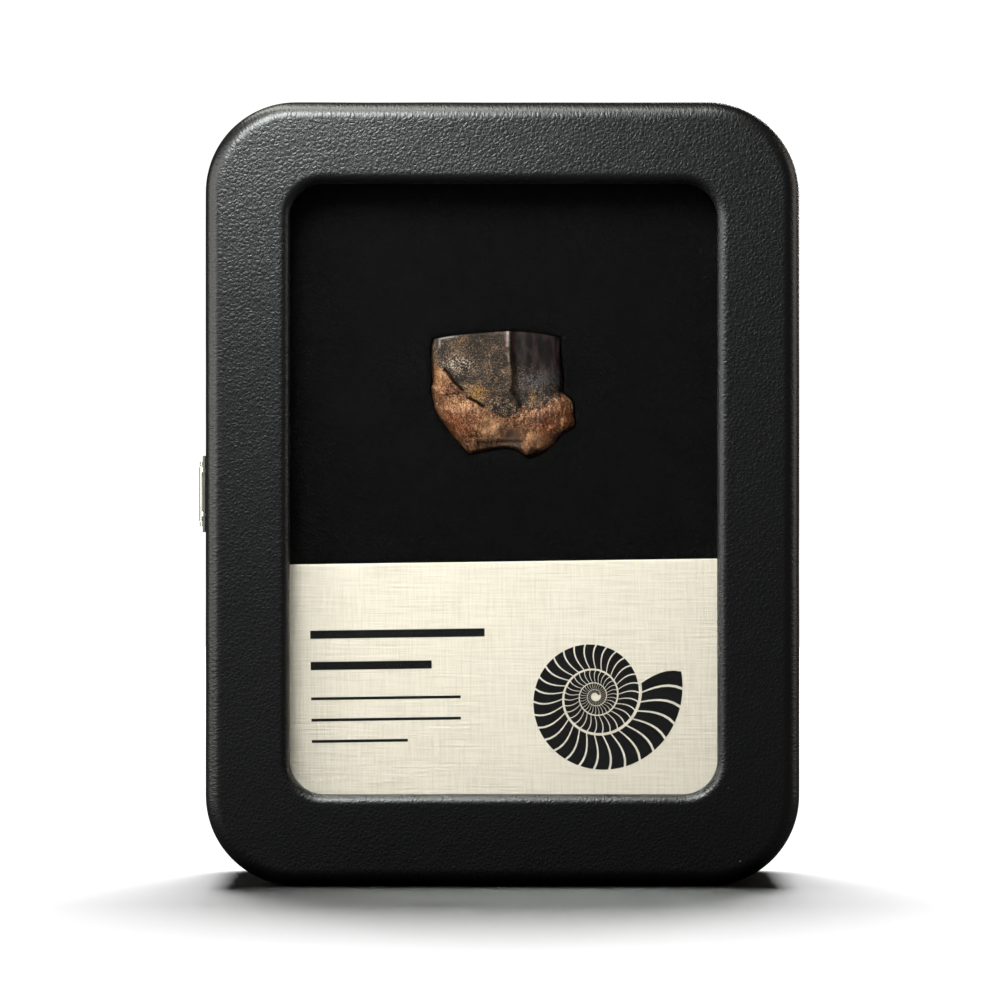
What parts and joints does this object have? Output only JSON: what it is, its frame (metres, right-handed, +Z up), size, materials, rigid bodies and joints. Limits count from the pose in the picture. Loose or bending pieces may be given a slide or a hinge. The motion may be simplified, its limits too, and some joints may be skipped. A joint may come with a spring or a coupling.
{
  "type": "cased fossil tooth",
  "caption": "Fossil dinosaur tooth in a foam nest above a paper label, in a hinged leatherette display case with a glass window and a metal latch.",
  "frame": {"origin": "middle of the end face that the closed case stands on, level with the middle of its depth", "axes": "+Z up along the case's longest side, +Y from the window to the back, +X to the right as seen from the window's side, where the hinges are"},
  "size_m": [0.0843, 0.025, 0.1095],
  "materials": {
    "leatherette": "grained, satin",
    "glass": "clear, polished",
    "board": "matt black",
    "foam": "matt black foam",
    "paper": "linen embossed, matt",
    "fossil": "polished grey-brown enamel above a rough copper-brown root",
    "nickel": "bright nickel plate"
  },
  "bodies": {
    "base": {"case_base": "leatherette", "foam_pad": "foam", "label_card": "paper", "fossil_tooth": "fossil", "hinge_lower_base_leaf": "nickel", "hinge_lower_pin": "nickel", "hinge_upper_base_leaf": "nickel", "hinge_upper_pin": "nickel", "catch_plate": "nickel", "base_rivet_lower": "nickel", "base_rivet_upper": "nickel"},
    "lid": {"case_lid": "leatherette", "window_glass": "glass", "glass_retainer": "board", "hinge_lower_lid_leaf": "nickel", "hinge_upper_lid_leaf": "nickel", "latch_plate": "nickel", "latch_pin": "nickel", "lid_rivet_lower": "nickel", "lid_rivet_upper": "nickel"},
    "latch": {"latch_tab": "nickel"}
  },
  "joints": [
    {"name": "lid_hinge", "type": "hinge", "parent": "base", "child": "lid", "pos_m": [0.0407, -0.003, 0.05475], "axis": [0, 0, 1], "range_deg": [0, 100]},
    {"name": "latch_pivot", "type": "hinge", "parent": "lid", "child": "latch", "pos_m": [-0.04222, -0.0052, 0.05475], "axis": [0, 0, 1], "range_deg": [0, 110]}
  ]
}
